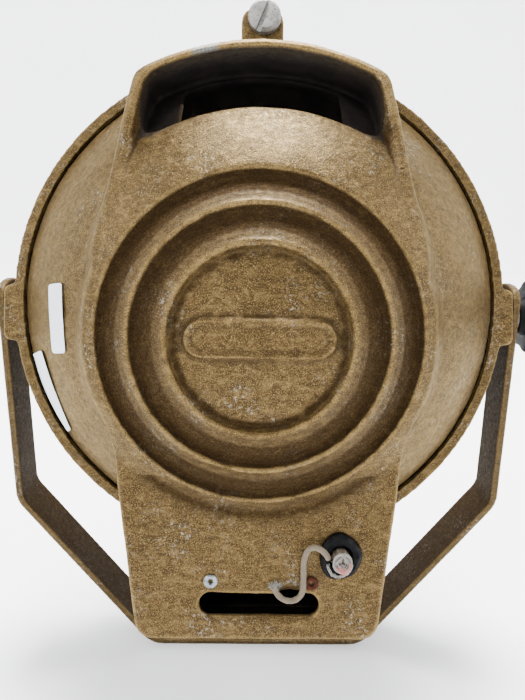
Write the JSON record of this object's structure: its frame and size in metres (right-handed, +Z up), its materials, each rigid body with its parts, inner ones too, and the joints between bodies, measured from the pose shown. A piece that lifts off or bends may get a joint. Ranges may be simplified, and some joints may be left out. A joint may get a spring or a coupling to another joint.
{
  "type": "fresnel spotlight",
  "caption": "Cast-metal fresnel stage spotlight on a bent strap yoke, with a domed, ribbed rear cover under a vent hood, hinged for lamp access.",
  "frame": {"origin": "middle of the underside of the yoke's flat foot, which stands on the floor", "axes": "+Z up along the yoke; the beam points along +Y, 15 degrees below level at rest; +X is to the right seen from behind, towards the tilt knob"},
  "size_m": [0.3154, 0.188, 0.3722],
  "materials": {
    "hammered_paint": "bronze-gold hammered enamel on sand-cast aluminium",
    "yoke_paint": "bronze-gold enamel on bent steel strap, worn",
    "lens_glass": "clear pressed heat-resistant glass",
    "lamp_glass": "clear",
    "zinc_steel": "dull worn zinc",
    "rusty_steel": "rusted",
    "black_paint": "matt black stove enamel",
    "bakelite": "moulded black phenolic",
    "fibre": "pressed brown fibre",
    "rubber": "aged black rubber",
    "braid": "woven off-white glass braid",
    "paper": "blank white paper sticker",
    "brass": "turned brass",
    "ceramic": "glazed steatite",
    "mirror": "silvered"
  },
  "bodies": {
    "yoke": {"yoke": "yoke_paint"},
    "lamp_housing": {"front_housing": "hammered_paint", "fresnel_lens": "lens_glass", "lens_retaining_ring": "zinc_steel", "colour_runner_left": "black_paint", "colour_runner_right": "black_paint", "colour_runner_bottom": "black_paint", "pivot_bolt": "zinc_steel", "tilt_stud": "zinc_steel", "friction_disc_left": "fibre", "friction_disc_right": "fibre", "pivot_washer_left": "zinc_steel", "pivot_washer_right": "zinc_steel", "hinge_pin": "zinc_steel", "focus_rail_left": "zinc_steel", "focus_rail_right": "zinc_steel"},
    "tilt_knob": {"tilt_knob": "bakelite"},
    "rear_cover": {"rear_housing": "hammered_paint", "hood_baffle": "black_paint", "plate_rivet_left": "zinc_steel", "plate_rivet_right": "rusty_steel", "cable_grommet": "rubber", "supply_cable": "braid", "cable_cores": "braid", "earth_lead": "braid", "label_upper": "paper", "label_lower": "paper"},
    "cover_screw": {"cover_screw": "zinc_steel"},
    "focus_carriage": {"carriage_plate": "zinc_steel", "slide_bush_left": "brass", "slide_bush_right": "brass", "lamp_holder": "ceramic", "terminal_block": "ceramic", "lamp_lead_rear": "braid", "lamp_lead_front": "braid", "lamp_cap": "zinc_steel", "lamp_glass": "lamp_glass", "lamp_filament": "zinc_steel", "reflector": "mirror", "reflector_bracket": "zinc_steel"},
    "focus_knob": {"focus_screw": "zinc_steel", "focus_knob": "bakelite"}
  },
  "joints": [
    {"name": "tilt", "type": "hinge", "parent": "yoke", "child": "lamp_housing", "pos_m": [0, 0, 0.21], "axis": [1, 0, 0], "range_deg": [-74.9, 104.9]},
    {"name": "tilt_knob_turn", "type": "hinge", "parent": "lamp_housing", "child": "tilt_knob", "pos_m": [0.15, 0, 0.21], "axis": [1, 0, 0], "range_deg": [0, 360]},
    {"name": "cover_swing", "type": "hinge", "parent": "lamp_housing", "child": "rear_cover", "pos_m": [0, -0.06313, 0.05665], "axis": [1, 0, 0], "range_deg": [0, 80]},
    {"name": "cover_screw_turn", "type": "hinge", "parent": "rear_cover", "child": "cover_screw", "pos_m": [0.001, 0.01906, 0.36126], "axis": [0, -0.9655, 0.2605], "range_deg": [0, 360]},
    {"name": "focus_slide", "type": "slide", "parent": "lamp_housing", "child": "focus_carriage", "axis": [0, 0.9655, -0.2605], "range_m": [-0.012, 0.012]},
    {"name": "focus_knob_turn", "type": "hinge", "parent": "focus_carriage", "child": "focus_knob", "pos_m": [0, -0.02505, 0.08263], "axis": [0, -0.2605, -0.9655], "range_deg": [0, 360]}
  ]
}
